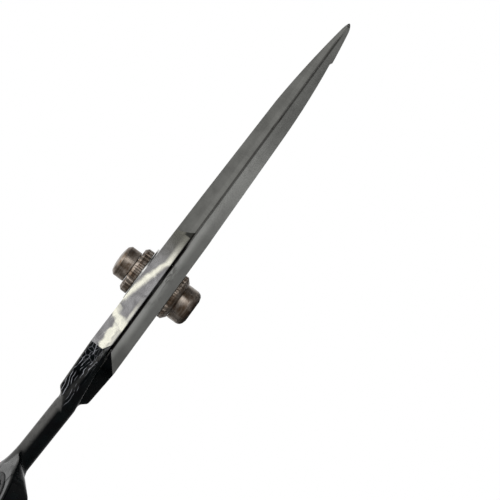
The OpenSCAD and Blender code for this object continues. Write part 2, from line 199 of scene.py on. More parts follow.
def prism(name, outline, axis, low, high):
    """An outline extruded along an axis: 'z' takes (x, y) points and 'y' takes (x, z) points."""
    count = len(outline)
    place = {"z": lambda p, t: (p[0], p[1], t), "y": lambda p, t: (p[0], t, p[1])}[axis]
    points = [place(p, low) for p in outline] + [place(p, high) for p in outline]
    ends = [list(range(count)), list(range(2 * count - 1, count - 1, -1))]
    walls = [[i, i + count, (i + 1) % count + count, (i + 1) % count] for i in range(count)]
    mesh = bpy.data.meshes.new(name)
    mesh.from_pydata(points, [], ends + walls)
    whole = bmesh.new()
    whole.from_mesh(mesh)
    bmesh.ops.recalc_face_normals(whole, faces=whole.faces)
    whole.to_mesh(mesh)
    whole.free()
    return piece_of(mesh, name)


def baked(piece):
    """Applies a piece's modifiers to its mesh."""
    solid = piece.evaluated_get(bpy.context.evaluated_depsgraph_get())
    old = piece.data
    piece.data = bpy.data.meshes.new_from_object(solid)
    piece.modifiers.clear()
    bpy.data.meshes.remove(old)
    return piece


def carve(piece, cutter, operation="DIFFERENCE"):
    """An exact boolean of two closed meshes. The cutter is used up."""
    change = piece.modifiers.new("carve", "BOOLEAN")
    change.object = cutter
    change.operation = operation
    change.solver = "EXACT"
    baked(piece)
    bpy.data.objects.remove(cutter)
    return piece


def drilled(piece, radius):
    """A hole on the pivot axis."""
    turn = np.linspace(0, 2 * math.pi, 97)[:-1]
    outline = [(radius * math.cos(a), radius * math.sin(a)) for a in turn]
    return carve(piece, prism("drill", outline, "z", -FAR, FAR))


def grinder(length, reach, heel_r, heel_y, matrix):
    """A grinding cutter: a flat face with a round heel."""
    arc = [math.radians(a) for a in range(270, 89, -3)]
    outline = [(heel_r + heel_r * math.cos(a), heel_y + heel_r * math.sin(a)) for a in arc]
    outline = [(heel_r + length, -10), (heel_r, -10)] + outline
    outline += [(heel_r + length, max(reach, heel_y + heel_r))]
    cutter = prism("grinder", outline, "z", 0, FAR / 2)
    cutter.data.transform(matrix)
    if matrix.determinant() < 0:
        cutter.data.flip_normals()
    return cutter


def soften(piece, width, keep_sharp, least=math.radians(18)):
    """Rounds the outside edges of a ground piece, apart from the edges that keep_sharp names."""
    whole = bmesh.new()
    whole.from_mesh(piece.data)
    bmesh.ops.remove_doubles(whole, verts=whole.verts, dist=2e-4)
    bmesh.ops.dissolve_degenerate(whole, edges=whole.edges, dist=2e-4)
    bmesh.ops.dissolve_limit(whole, angle_limit=math.radians(0.2), verts=whole.verts, edges=whole.edges)
    weight = whole.edges.layers.float.new("bevel_weight_edge")
    for edge in whole.edges:
        ends = [v.co for v in edge.verts]
        cornered = len(edge.link_faces) == 2 and edge.calc_face_angle() > least
        edge[weight] = width(ends) / ROUNDING if cornered and not keep_sharp(*ends) else 0
    whole.to_mesh(piece.data)
    whole.free()
    rounding = piece.modifiers.new("rounding", "BEVEL")
    rounding.width = ROUNDING
    rounding.segments = 3
    rounding.limit_method = "WEIGHT"
    rounding.miter_outer = "MITER_ARC"
    return baked(piece)


def even_normals(piece, angle=40):
    """Flat faces shade flat and their rounded edges shade round."""
    piece.data.shade_smooth()
    piece.data.set_sharp_from_angle(angle=math.radians(angle))
    even = piece.modifiers.new("even", "WEIGHTED_NORMAL")
    even.keep_sharp = True
    even.weight = 60
    return baked(piece)


def settle(piece, body, slot, node, *materials):
    """Lifts a finished piece into the frame, puts it on its body and hides the CAD node that it stands for.
    """
    for material in materials:
        piece.data.materials.append(material)
    piece.data.transform(Matrix.Scale(MM, 4) @ Matrix.Translation((0, 0, PARTING)))
    piece.data.update()
    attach(piece, body)
    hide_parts(node)
    return piece


# ---- blades ----

def weld_cutter(line, side):
    """Everything on the handle's side (-1) or the blade's side (+1) of a weld line."""
    low, high = line[0], line[-1]
    rise = 10 if high[1] > 0 else -10
    reach = low[0] + side * FAR
    outline = [(reach, low[1] - rise), (low[0], low[1] - rise)] + line
    outline += [(high[0], high[1] + rise), (reach, high[1] + rise)]
    return prism("weld_side", outline, "y", -FAR, FAR)


def ride_lands(piece, up):
    """Flats that close the gap between the halves beside the washer. The CAD has none."""
    low, high = sorted((up * LAND_GAP, up * (PIVOT_GAP + 0.3)))
    weld = (STRAIGHT_WELD if up > 0 else COMB_WELD)[0][0]
    for near, far, back in ((weld + 0.01, -LAND_IN, 5.2), (LAND_IN, HEEL_X, 4.4)):
        outline = [(near, LAND_Y), (far, LAND_Y), (far, back), (near, back)]
        carve(piece, prism("ride_land", outline, "z", low, high), "UNION")


def straight_blade():
    heel = HEEL_X - 2.2
    slope = math.atan2(edge_y(BLADE_LEN) - edge_y(HEEL_X), BLADE_LEN - HEEL_X)
    sweep = list(tip_rows()) + list(np.linspace(BLADE_LEN - TIP_ROUND, STRAIGHT_SWEEP_X, 25))
    side = [(STRAIGHT_WELD[0][0], PIVOT_GAP), (INNER_RAMP_X, PIVOT_GAP), (HEEL_X, EDGE_GAP)]
    side += [(BLADE_LEN, EDGE_GAP)] + [(x, straight_top(x)) for x in sweep]
    side += STRAIGHT_WELD[:0:-1]
    piece = prism("straight_blade_ground", side, "y", -FAR / 2, FAR / 2)

    rows = np.linspace(BLADE_LEN - TIP_W, HEEL_X, 33)
    tip = np.radians(np.linspace(-75, 75, 11))
    plan = [(STRAIGHT_WELD[1][0] - 1, -HALF_W), (HEEL_X - 4, -HALF_W), (HEEL_X, edge_y(HEEL_X))]
    plan += [(BLADE_LEN - TIP_W, edge_y(BLADE_LEN - TIP_W))]
    plan += [(BLADE_LEN + TIP_W * (math.cos(a) - 1), TIP_W * math.sin(a)) for a in tip]
    plan += [(x, spine_y(x)) for x in rows]
    plan += [(0, HALF_W), (STRAIGHT_WELD[1][0] - 1, HALF_W - 0.4)]
    carve(piece, prism("plan", plan, "z", -FAR / 2, FAR / 2), "INTERSECT")

    bevel = Matrix.Translation((heel, edge_y(heel), EDGE_GAP)) @ Matrix.Rotation(slope, 4, "Z")
    carve(piece, grinder(70, 9, 8, 5.6, bevel @ Matrix.Rotation(EDGE_BEVEL, 4, "X")))
    ridge_y = edge_y(HEEL_X) + STRAIGHT_H / math.tan(EDGE_BEVEL)
    spine = Matrix.Translation((HEEL_X - 1, ridge_y, straight_top(HEEL_X)))
    spine = spine @ Matrix.Rotation(slope / 2, 4, "Z") @ Matrix.Rotation(STRAIGHT_TAPER, 4, "Y")
    carve(piece, grinder(70, 14, 9, 5, spine @ Matrix.Rotation(-SPINE_SLOPE, 4, "X")))
    ride_lands(piece, 1)
    drilled(piece, 3.2)

    def edge_line(a, b):
        at_weld = max(a.x, b.x) < STRAIGHT_WELD[0][0] + 0.05
        cutting = max(a.z, b.z) < 0.4 and min(a.x, b.x) > HEEL_X - 2.5 and max(a.y, b.y) < 0
        return at_weld or cutting

    def width(ends):
        behind_heel = max(p.x for p in ends) < HEEL_X
        return 0.22 if behind_heel else 0.09

    soften(piece, width, edge_line)
    even_normals(piece)
    polish = [f for f in piece.data.polygons if f.center.x < HEEL_X - 0.2 and f.normal.y < -0.9]
    piece.data.materials.append(straight_steel())
    piece.data.materials.append(polished_steel())
    for face in piece.data.polygons:
        face.material_index = 0
    for face in polish:
        face.material_index = 1
    return settle(piece, "thumb_half", "straight_steel", "straight_blade")


def tooth_outline(x):
    """A tooth with its notched end, and the round root of the gap behind it, from tip to heel."""
    half = TOOTH_W / 2
    gap = (PITCH - TOOTH_W) / 2
    root = np.radians(np.linspace(0, -180, 9))
    end = tooth_end_y(x)
    points = [(x + half, end), (x, end - TOOTH_NOTCH), (x - half, end)]
    centre = x - PITCH / 2
    return points + [(centre + gap * math.cos(a), tooth_root_y(x) + gap * math.sin(a)) for a in root]


def comb_blade():
    sweep = list(np.linspace(COMB_SWEEP_X, TEETH_END_X, 13))
    sweep += list(np.linspace(TEETH_END_X + TIP_STEP_LEN, BLADE_LEN - TIP_ROUND, 9))
    sweep += list(tip_rows()[::-1])
    side = COMB_WELD[::-1] + [(INNER_RAMP_X, -PIVOT_GAP), (HEEL_X, -EDGE_GAP), (BLADE_LEN, -EDGE_GAP)]
    side += [(x, -comb_top(x)) for x in sweep[::-1]] + [(COMB_FLAT_X, -COMB_H)]
    piece = prism("comb_blade_ground", side, "y", -FAR / 2, FAR / 2)

    rows = np.linspace(HEEL_X, BLADE_LEN - TIP_W, 33)
    tip = np.radians(np.linspace(-75, 75, 11))
    first = TEETH_X + PITCH / 2
    plan = [(COMB_WELD[1][0] - 1, -HALF_W + 0.4), (0, -HALF_W)] + [(x, back_y(x)) for x in rows]
    plan += [(BLADE_LEN + TIP_W * (math.cos(a) - 1), TIP_W * math.sin(a) - 0.1) for a in tip]
    plan += [(TEETH_END_X + 0.4, 1.6), (TEETH_END_X + 0.4, tooth_root_y(TEETH_END_X))]
    plan += [(TEETH_END_X - 0.3, tooth_root_y(TEETH_END_X))]
    for i in reversed(range(TEETH)):
        plan += tooth_outline(first + i * PITCH)
    plan += [(TEETH_X - 0.3, 4.9), (HEEL_X - 3, HALF_W), (COMB_WELD[1][0] - 1, HALF_W)]
    carve(piece, prism("plan", plan, "z", -FAR / 2, FAR / 2), "INTERSECT")

    heel = HEEL_X - 1
    line = math.atan2(tooth_end_y(TEETH_END_X) - tooth_end_y(TEETH_X), TEETH_END_X - TEETH_X)
    slope = Matrix.Translation((heel, tooth_end_y(heel), -TOOTH_END_H)) @ Matrix.Diagonal((1, 1, -1, 1))
    slope = slope @ Matrix.Rotation(line, 4, "Z") @ Matrix.Rotation(-COMB_SLOPE, 4, "X")
    length = TEETH_END_X - HEEL_X - 6
    carve(piece, grinder(length, 12, 7, 5, slope @ Matrix.Diagonal((1, -1, 1, 1))))
    ride_lands(piece, -1)
    drilled(piece, 2.42)

    def edge_line(a, b):
        weld = COMB_WELD[0][0]
        return min(abs(p.x - weld) for p in (a, b)) < 4 and max(a.x, b.x) < weld + 0.05

    def width(ends):
        toothed = max(p.y for p in ends) > tooth_root_y(HEEL_X) - 0.6 and min(p.x for p in ends) > HEEL_X
        return 0.05 if toothed else 0.14

    soften(piece, width, edge_line)
    even_normals(piece)
    return settle(piece, "finger_half", "comb_steel", "comb_blade", comb_steel())


# ---- forged shapes: a signed field, meshed by surface nets and drawn onto the surface ----

def blend_min(a, b, k):
    """The nearer of two fields, with a fillet about k wide."""
    h = np.clip(0.5 + 0.5 * (b - a) / k, 0, 1)
    return b + (a - b) * h - k * h * (1 - h)


def blend_max(a, b, k):
    """The inside of both fields, with a rounding about k wide."""
    return -blend_min(-a, -b, k)


def capsule(p, a, b, ra, rb=None):
    """A rod with round ends, tapering from ra to rb."""
    a, b = np.array(a, float), np.array(b, float)
    rb = ra if rb is None else rb
    t = np.clip((p - a) @ (b - a) / ((b - a) @ (b - a)), 0, 1)
    return np.linalg.norm(p - a - t[:, None] * (b - a), axis=1) - (ra + (rb - ra) * t)


def band(radial, height, half_width, half_height, rounding):
    """A rounded rectangle as a field over two coordinates."""
    x = np.abs(radial) - half_width + rounding
    z = np.abs(height) - half_height + rounding
    outside = np.hypot(np.maximum(x, 0), np.maximum(z, 0))
    return outside + np.minimum(np.maximum(x, z), 0) - rounding


def field_mesh(name, field, low, high, pitch):
    """A closed quad mesh of field = 0, with its points drawn exactly onto the surface."""
    axes = [np.arange(a, b + pitch, pitch) for a, b in zip(low, high)]
    grid = np.stack(np.meshgrid(*axes, indexing="ij"), -1)
    shape = grid.shape[:3]
    value = field(grid.reshape(-1, 3)).reshape(shape)
    cells = tuple(n - 1 for n in shape)
    total = np.zeros(cells + (3,))
    count = np.zeros(cells)
    for axis in range(3):
        others = [i for i in range(3) if i != axis]
        for corner in range(4):
            start = [0, 0, 0]
            start[others[0]] = corner & 1
            start[others[1]] = corner >> 1
            stop = list(start)
            stop[axis] = 1
            near = value[tuple(slice(s, s + n) for s, n in zip(start, cells))]
            away = value[tuple(slice(s, s + n) for s, n in zip(stop, cells))]
            crossed = (near < 0) != (away < 0)
            where = np.nonzero(crossed)
            share = near[where] / (near[where] - away[where])
            for i in range(3):
                offset = start[i] + (share if i == axis else 0)
                total[where + (i,)] += offset
            count[where] += 1
    used = count > 0
    index = np.full(cells, -1)
    index[used] = np.arange(used.sum())
    local = total[used] / count[used][:, None]
    points = np.array(low) + (np.argwhere(used) + local) * pitch
    faces = []
    for axis in range(3):
        b, c = [(1, 2), (2, 0), (0, 1)][axis]
        near = np.take(value, range(shape[axis] - 1), axis)
        away = np.take(value, range(1, shape[axis]), axis)
        for into in (True, False):
            hit = np.argwhere((near < 0) & (away >= 0) if into else (near >= 0) & (away < 0))
            hit = hit[(hit[:, b] > 0) & (hit[:, c] > 0) & (hit[:, b] < cells[b]) & (hit[:, c] < cells[c])]
            corners = []
            for db, dc in ((0, 0), (1, 0), (1, 1), (0, 1)):
                cell = hit.copy()
                cell[:, b] -= db
                cell[:, c] -= dc
                corners.append(index[tuple(cell.T)])
            quad = np.stack(corners if into else corners[::-1], 1)
            faces.append(quad)
    for _ in range(4):
        step = np.eye(3) * 0.01
        slope = np.stack([field(points + d) - field(points - d) for d in step], 1) / 0.02
        move = field(points)[:, None] * slope / np.maximum((slope ** 2).sum(1), 0.05)[:, None]
        points -= np.clip(move, -pitch / 2, pitch / 2)
    mesh = bpy.data.meshes.new(name)
    mesh.from_pydata(points.tolist(), [], np.concatenate(faces).tolist())
    mesh.shade_smooth()
    return piece_of(mesh, name)


class Ring:
    """A finger ring's own frame: u along X, v outwards in its tilted plane, w up its axis."""

    def __init__(self, side, mount):
        axis = mount["axis"]
        self.side = side
        self.tilt = math.atan2(abs(axis[1]), axis[2])
        self.centre = np.array(mount["pos_m"]) / MM - [0, 0, PARTING]
        self.axis = np.array(axis)

    def coords(self, p):
        """u, v and w of points given from the parting plane."""
        d = p - self.centre
        out = self.side * d[:, 1]
        v = out * math.cos(self.tilt) - d[:, 2] * math.sin(self.tilt)
        w = out * math.sin(self.tilt) + d[:, 2] * math.cos(self.tilt)
        return d[:, 0], v, w

    def place(self, u, v, w):
        """A point of the ring's frame, from the parting plane."""
        out = v * math.cos(self.tilt) + w * math.sin(self.tilt)
        up = -v * math.sin(self.tilt) + w * math.cos(self.tilt)
        return self.centre + [u, self.side * out, up]

    def matrix(self):
        """Lays a turned shape, made round Z, in the ring's plane."""
        turn = Vector((0, 0, 1)).rotation_difference(Vector(self.axis)).to_matrix().to_4x4()
        return Matrix.Translation(self.centre) @ turn


mounts = {m["name"]: m for m in frame["record"]["mounts"]}
thumb_ring = Ring(-1, mounts["thumb_hole"])
finger_ring = Ring(1, mounts["finger_hole"])


def outer_y(x, radius):
    """The outer side of a block, which flares from the blade's width to its shank's."""
    reach = SHANK_Y + radius - 0.1
    return HALF_W + (reach - HALF_W) * ease((BLOCK_FLARE_X - x) / (BLOCK_FLARE_X - BLOCK_FULL_X))


def inner_level(x, y):
    """Height of a block's inner face, which is raised to a ride land on its far side."""
    return np.where((y < -LAND_Y) & (x > BLOCK_FLARE_X - 1.2), LAND_GAP, PIVOT_GAP)


def block_field(p, side, radius, top_at, step):
    """The block between a blade's weld and its shank. top_at is the outer face's height over x."""
    x, y, z = p[:, 0], side * p[:, 1], p[:, 2]
    inner = SHANK_Y - radius + 0.4
    narrow = HALF_W - 0.4
    share = (x - BLOCK_END_X) / (BLOCK_FLARE_X - BLOCK_END_X)
    inner_y = inner - (inner + narrow) * ease(share)
    walls = np.maximum((y - outer_y(x, radius)) * 0.85, (inner_y - y) * 0.7)
    up = np.sign(step[1][1])
    run = np.array(step[1]) - np.array(step[0])
    normal = np.array([run[1] * up, -run[0]]) / np.hypot(*run)
    slant = (x - step[0][0]) * normal[0] + (up * z - abs(step[0][1])) * normal[1]
    lid = blend_max(up * z - top_at(x), slant, 0.3)
    flat = blend_max(lid, inner_level(x, y) - up * z, 0.06)
    return np.maximum(blend_max(flat, walls, 0.3), x + 12)


def shank_field(p, side, radius, rise, end_x):
    """A round shank that grows out of its block's outer side and runs level with it."""
    x = np.clip(p[:, 0], end_x, SHANK_NOSE_X)
    grown = np.clip((SHANK_NOSE_X - x) / (SHANK_NOSE_X - SHANK_FULL_X), 0, 1) ** 1.2
    r = radius * (0.12 + 0.88 * grown)
    y = outer_y(x, radius) + 0.1 - r
    z = SHANK_Z + rise * (SHANK_START_X - x)
    off = np.sqrt((p[:, 0] - x) ** 2 + (side * p[:, 1] - y) ** 2 + (p[:, 2] - z) ** 2)
    return (off - r) * 0.93


def web_field(u, v, w):
    """The web that spreads a shank into its ring: straight walls tangent to the ring on both sides."""
    walls = []
    for angle, side in ((WEB_OUTER, 1), (WEB_INNER, -1)):
        away, across = math.cos(angle), math.sin(angle)
        walls.append(u * away + v * across - RING_OUT)
        walls.append(side * (v * away - u * across))
    top = w - RING_H / 2 + 0.247 * np.maximum(u - RING_OUT * math.cos(WEB_OUTER), 0)
    under = -w - RING_H / 2
    return np.maximum(blend_max(np.maximum(walls[0], walls[2]), np.maximum(top, under), 0.35),
                      np.maximum(walls[1], walls[3]))


def handle_field(ring, radius, rise, block):
    """Block, shank, web and ring of one handle as a field."""
    side = ring.side
    up = -side
    end_x = ring.centre[0] + RING_IN - 0.3
    relief = ring.centre[0] + RING_OUT + np.array([-0.55, -2.75])
    relief = np.array([[relief[0], -1.0], [relief[1], -3.5]])
    run = relief[1] - relief[0]
    normal = np.array([-run[1], run[0]]) / np.hypot(*run)

    def field(p):
        u, v, w = ring.coords(p)
        rho = np.hypot(u, v)
        hoop = band(rho - (RING_OUT + RING_IN) / 2, w, (RING_OUT - RING_IN) / 2, RING_H / 2, 0.45)
        cut = (p[:, 0] - relief[0][0]) * normal[0] + (p[:, 2] - relief[0][1]) * normal[1]
        rim = blend_max(blend_min(hoop, web_field(u, v, w), 0.3), cut, 0.5)
        whole = blend_min(shank_field(p, side, radius, rise, end_x), rim, 0.9)
        whole = blend_max(whole, RING_IN - rho, 0.2)
        whole = blend_min(whole, block(p), 0.8)
        level = inner_level(p[:, 0], side * p[:, 1])
        other_half = np.maximum(up * p[:, 2] - level, side * p[:, 1] - HALF_W - 0.15)
        return np.maximum(whole, -np.maximum(other_half, BLOCK_FULL_X - 0.5 - p[:, 0]))

    return field


def coat(piece, name, veined):
    """Coats a forged piece and keeps its creases crisp."""
    piece.data.materials.append(black_coat(name, veined))
    piece.data.shade_smooth()
    piece.data.set_sharp_from_angle(angle=math.radians(50))


def thumb_handle():
    weld = STRAIGHT_WELD
    high = weld[2][1]

    def top_at(x):
        return high - 0.3 * (weld[1][0] - x) / (weld[1][0] - STEP_X)

    low_z = SHANK_Z + THUMB_RISE * (SHANK_START_X - STEP_LOW_X) + THUMB_R - 0.1
    step = [(STEP_X, high - 0.3), (STEP_LOW_X, low_z)]

    def block(p):
        return block_field(p, -1, THUMB_R, top_at, step)

    field = handle_field(thumb_ring, THUMB_R, THUMB_RISE, block)
    low = np.array([-76, -31.5, -8])
    piece = field_mesh("thumb_handle_forged", field, low, [-11.5, 8, 10], 0.3)
    carve(piece, weld_cutter(weld, 1))
    coat(piece, "thumb_coat", True)
    return settle(piece, "thumb_half", "black_coat", "thumb_handle")


def finger_handle():
    weld = COMB_WELD

    def top_at(x):
        return COMB_H - 0.65 * np.clip((weld[1][0] - x) / (weld[1][0] - STEP_X), 0, 2)

    low_z = SHANK_Z + FINGER_RISE * (SHANK_START_X - STEP_LOW_X) - FINGER_R + 0.1
    step = [(STEP_X, -2.75), (STEP_LOW_X, low_z)]

    def block(p):
        return block_field(p, 1, FINGER_R, top_at, step)

    body = handle_field(finger_ring, FINGER_R, FINGER_RISE, block)
    boss_end = finger_ring.place(-BOSS[0], BOSS[1], 0)
    boss_start = finger_ring.place(-BOSS[0] + 3.4, BOSS[1], 0)

    def field(p):
        u, v, _ = finger_ring.coords(p)
        boss = blend_max(capsule(p, boss_start, boss_end - [3, 0, 0], BOSS_R), -BOSS[0] - u, 0.3)
        rho = np.hypot(u, v)
        return blend_max(blend_min(body(p), boss, 1.0), RING_IN - rho, 0.2)

    low = np.array([-93, -8, -8])
    piece = field_mesh("finger_handle_forged", field, low, [-11.5, 31.5, 10], 0.3)
    carve(piece, weld_cutter(weld, 1))
    coat(piece, "finger_coat", False)
    return settle(piece, "finger_half", "black_coat", "finger_handle")


def finger_rest():
    """The hook for the little finger: a neck, a swept rod and a ball end."""
    neck_end = finger_ring.place(-BOSS[0] - REST_NECK, BOSS[1], 0)
    root = finger_ring.place(-BOSS[0] - 0.02, BOSS[1], 0)
    bend = (-BOSS[0] - REST_NECK, BOSS[1] + REST_BEND)
    stop = math.radians(270) - REST_SWEEP
    ball = finger_ring.place(bend[0] + REST_BEND * math.cos(stop), bend[1] + REST_BEND * math.sin(stop), 0)

    def field(p):
        u, v, w = finger_ring.coords(p)
        neck = capsule(p, root, neck_end, BOSS_R, REST_R)
        neck = blend_max(neck, u + BOSS[0] + 0.02, 0.2)
        du, dv = u - bend[0], v - bend[1]
        angle = np.mod(np.arctan2(dv, du), 2 * math.pi)
        angle = np.clip(angle, stop, math.radians(270))
        near = np.stack([bend[0] + REST_BEND * np.cos(angle), bend[1] + REST_BEND * np.sin(angle)])
        slim = REST_R - 0.25 * ease((math.radians(262) - angle) / 0.4) * ease((angle - stop) / 0.3)
        rod = np.sqrt((u - near[0]) ** 2 + (v - near[1]) ** 2 + w ** 2) - slim
        knob = np.linalg.norm(p - ball, axis=1) - REST_R - 0.3
        return blend_min(blend_min(neck, rod, 0.8), knob, 0.8)

    low = np.array([-110, 9, -8])
    piece = field_mesh("finger_rest_forged", field, low, [-88, 30, 9], 0.22)
    coat(piece, "rest_coat", False)
    return settle(piece, "finger_half", "black_coat", "finger_rest")


# ---- turned pieces ----

def filleted(points, radii):
    """A polyline with each inner corner rounded by its own radius."""
    made = [points[0]]
    for before, corner, after, r in zip(points, points[1:], points[2:], radii):
        a, b, c = (np.array(p, float) for p in (before, corner, after))
        to_a, to_c = (a - b) / np.linalg.norm(a - b), (c - b) / np.linalg.norm(c - b)
        turn = math.pi - math.acos(np.clip(to_a @ to_c, -1, 1))
        if r <= 0 or turn < 0.02:
            made.append(corner)
            continue
        back = min(r * math.tan(turn / 2), 0.45 * min(np.linalg.norm(a - b), np.linalg.norm(c - b)))
        start, end = b + to_a * back, b + to_c * back
        for t in np.linspace(0, 1, 5):
            made.append(tuple((1 - t) ** 2 * start + 2 * t * (1 - t) * b + t * t * end))
    return made + [points[-1]]


def turned(name, profile, segments=192, notches=0, notch_range=(0, 0), depth=0.16):
    """A profile of (radius, height) points turned round Z, with coin-edge notches in its rim."""
    turn = np.arange(segments) * 2 * math.pi / segments
    wave = np.zeros(segments)
    if notches:
        phase = np.mod(np.arange(segments) * notches / segments, 1)
        wave = ease((0.32 - np.abs(phase - 0.5)) / 0.14)
    points, rows = [], []
    for r, z in profile:
        if r < 1e-6:
            rows.append([len(points)] * segments)
            points.append((0, 0, z))
            continue
        deep = depth * wave if notches and notch_range[0] <= z <= notch_range[1] and r > 4.4 else 0
        rows.append(list(range(len(points), len(points) + segments)))
        reach = r - deep + np.zeros(segments)
        points += list(zip(reach * np.cos(turn), reach * np.sin(turn), [z] * segments))
    faces = []
    closed = profile[0] == profile[-1]
    for low, high in zip(rows, rows[1:] + (rows[:1] if closed else [])):
        for i in range(segments):
            n = (i + 1) % segments
            quad = [low[i], low[n], high[n], high[i]]
            faces.append(list(dict.fromkeys(quad)))
    faces = [f for f in faces if len(f) > 2]
    mesh = bpy.data.meshes.new(name)
    mesh.from_pydata(points, [], faces)
    whole = bmesh.new()
    whole.from_mesh(mesh)
    bmesh.ops.remove_doubles(whole, verts=whole.verts, dist=1e-5)
    bmesh.ops.recalc_face_normals(whole, faces=whole.faces)
    whole.to_mesh(mesh)
    whole.free()
    mesh.shade_smooth()
    mesh.set_sharp_from_angle(angle=math.radians(42))
    return piece_of(mesh, name)


def tension_dial():
    low, high = levels("tension_dial")
    r = span("tension_dial")[1][0]
    profile = [(2.05, low + 0.4), (4.2, low + 0.4), (4.2, low), (r, low), (r, high - 0.6),
               (r - 0.6, high), (2.05, high), (2.05, low + 0.4)]
    soft = filleted(profile, [0.05, 0.05, 0.12, 0.1, 0.12, 0.1])
    piece = turned("tension_dial_turned", soft, 360, 30, (low + 0.02, high - 0.12))
    return settle(piece, "dial", "bronze_steel", "tension_dial", bronze_steel("dial_bronze"))


def ball_race(floor):
    """The groove that the click ball runs in, as a profile cut into a floor at this level."""
    ball_low, ball_high = span("detent_ball")
    orbit = (ball_low[0] + ball_high[0]) / 2
    centre = sum(levels("detent_ball")) / 2
    start = math.asin((floor - centre) / RACE_R)
    turns = np.linspace(math.pi - start, start, 9)
    return [(orbit + RACE_R * math.cos(t), centre + RACE_R * math.sin(t)) for t in turns]


def lock_cap():
    low, high = levels("lock_cap")
    r = span("lock_cap")[1][0]
    under = high - 0.95
    race = ball_race(low)
    outside = [race[-1], (r, low), (r, high - 0.95), (r - 0.6, high - 0.35), (r - 1.6, high - 0.12),
               (r - 2.6, high), (0, high)]
    inside = [(0, under), (2.03, under), (2.03, low)]
    soft = [(2.03, low)] + race[:-1] + filleted(outside, [0.12, 0.35, 0.45, 0.8, 1.2]) + inside
    piece = turned("lock_cap_turned", soft)
    return settle(piece, "finger_half", "bronze_steel", "lock_cap", bronze_steel("cap_bronze"))


def lock_collar():
    low, high = levels("lock_collar")
    r = span("lock_collar")[1][0]
    bore = 2.82
    profile = [(bore, low), (4.05, low), (r, high - 0.75), (r, high), (bore, high), (bore, low)]
    soft = filleted(profile, [0.08, 0.12, 0.12, 0.05])
    piece = turned("lock_collar_turned", soft, 360, 30, (low + 0.3, high - 0.02))
    return settle(piece, "finger_half", "bronze_steel", "lock_collar", bronze_steel("collar_bronze"))


def pivot_bolt():
    low, high = levels("pivot_bolt")
    top_of_head = low + 3.63
    r = 3.9
    dial_low = levels("tension_dial")[0]
    profile = [(0, low), (r - 1.6, low), (r - 0.7, low + 0.25), (r - 0.2, low + 0.7), (r, low + 1.3),
               (r, top_of_head), (2.8, top_of_head), (2.8, top_of_head + 1.64), (2.4, top_of_head + 1.64),
               (2.4, dial_low - 0.1), (2, dial_low - 0.1), (2, high - 0.3), (1.7, high), (0, high)]
    soft = filleted(profile, [0.9, 0.9, 0.9, 1.2, 0.15, 0, 0, 0, 0, 0, 0.1, 0.1])
    piece = turned("pivot_bolt_turned", soft)
    return settle(piece, "finger_half", "bronze_steel", "pivot_bolt", bronze_steel("bolt_bronze"))


def insert(name, ring, body, node):
    """A rubber insert: a sleeve with soft lips and fine ribs round its bore."""
    half = RING_H / 2 + 0.2
    bore, rim = 10.5, RING_IN - 0.02
    ribs = [(bore + 0.06 * (i % 2), z) for i, z in enumerate(np.linspace(half - 0.9, -half + 0.9, 15))]
    outline = [(bore + 0.06, half - 0.4), (bore + 0.45, half), (rim, half), (rim, -half)]
    outline += [(bore + 0.45, -half), (bore + 0.06, -half + 0.4)]
    soft = filleted(outline, [0.4, 0.3, 0.3, 0.4])
    piece = turned(name, soft + ribs[::-1] + [soft[0]], 160)
    piece.data.transform(ring.matrix())
    return settle(piece, body, "insert_rubber", node, rubber(name + "_rubber", 0.018))


def bumper():
    """The soft stop between the rings, with a domed end."""
    low, high = span("bumper")
    r = (high[0] - low[0]) / 2
    length = high[1] - low[1]
    profile = [(0, 0), (r, 0), (r, length - 0.5), (r - 0.5, length - 0.03), (0, length)]
    piece = turned("bumper_moulded", filleted(profile, [0.08, 0.35, 0.4]), 64)
    centre = (low + high) / 2
    lay = Matrix.Translation((centre[0], low[1], centre[2] - PARTING))
    piece.data.transform(lay @ Matrix.Rotation(-math.pi / 2, 4, "X"))
    return settle(piece, "thumb_half", "bumper_rubber", "bumper", rubber("bumper_rubber", 0.025))


# ---- finishes ----

STRAIGHT_TONE = (0.066, 0.066, 0.062)
COMB_TONE = (0.27, 0.272, 0.26)
# Painted light: the lighter tone that steel faces looking up or down get, against the side walls of the same
# steel.
LIT_FACE_TONE = (0.36, 0.36, 0.345)
# Tone of the painted shade in the joint between the halves.
SEAM_SHADE_TONE = (0.012, 0.011, 0.01)
# Slope of the main painted reflection stroke on the polished flat.
REFLECTION_FALL = 0.3


class Nodes:
    """A node tree being made."""

    def __init__(self, tree):
        self.tree = tree

    def add(self, kind, **settings):
        node = self.tree.nodes.new(kind)
        for key, value in settings.items():
            setattr(node, key, value)
        return node

    def join(self, source, target):
        self.tree.links.new(source, target)

    def levels(self, value, low, high, out_low=0.0, out_high=1.0):
        """Maps a range of values to another with soft ends."""
        node = self.add("ShaderNodeMapRange", interpolation_type="SMOOTHSTEP")
        for key, number in zip(("From Min", "From Max", "To Min", "To Max"), (low, high, out_low, out_high)):
            node.inputs[key].default_value = number
        self.join(value, node.inputs["Value"])
        return node.outputs["Result"]

    def calc(self, operation, a, b=0):
        node = self.add("ShaderNodeMath", operation=operation)
        for socket, value in zip(node.inputs, (a, b)):
            if isinstance(value, (int, float)):
                socket.default_value = value
            else:
                self.join(value, socket)
        return node.outputs[0]

    def times(self, a, b):
        return self.calc("MULTIPLY", a, b)

    def plus(self, a, b):
        return self.calc("ADD", a, b)


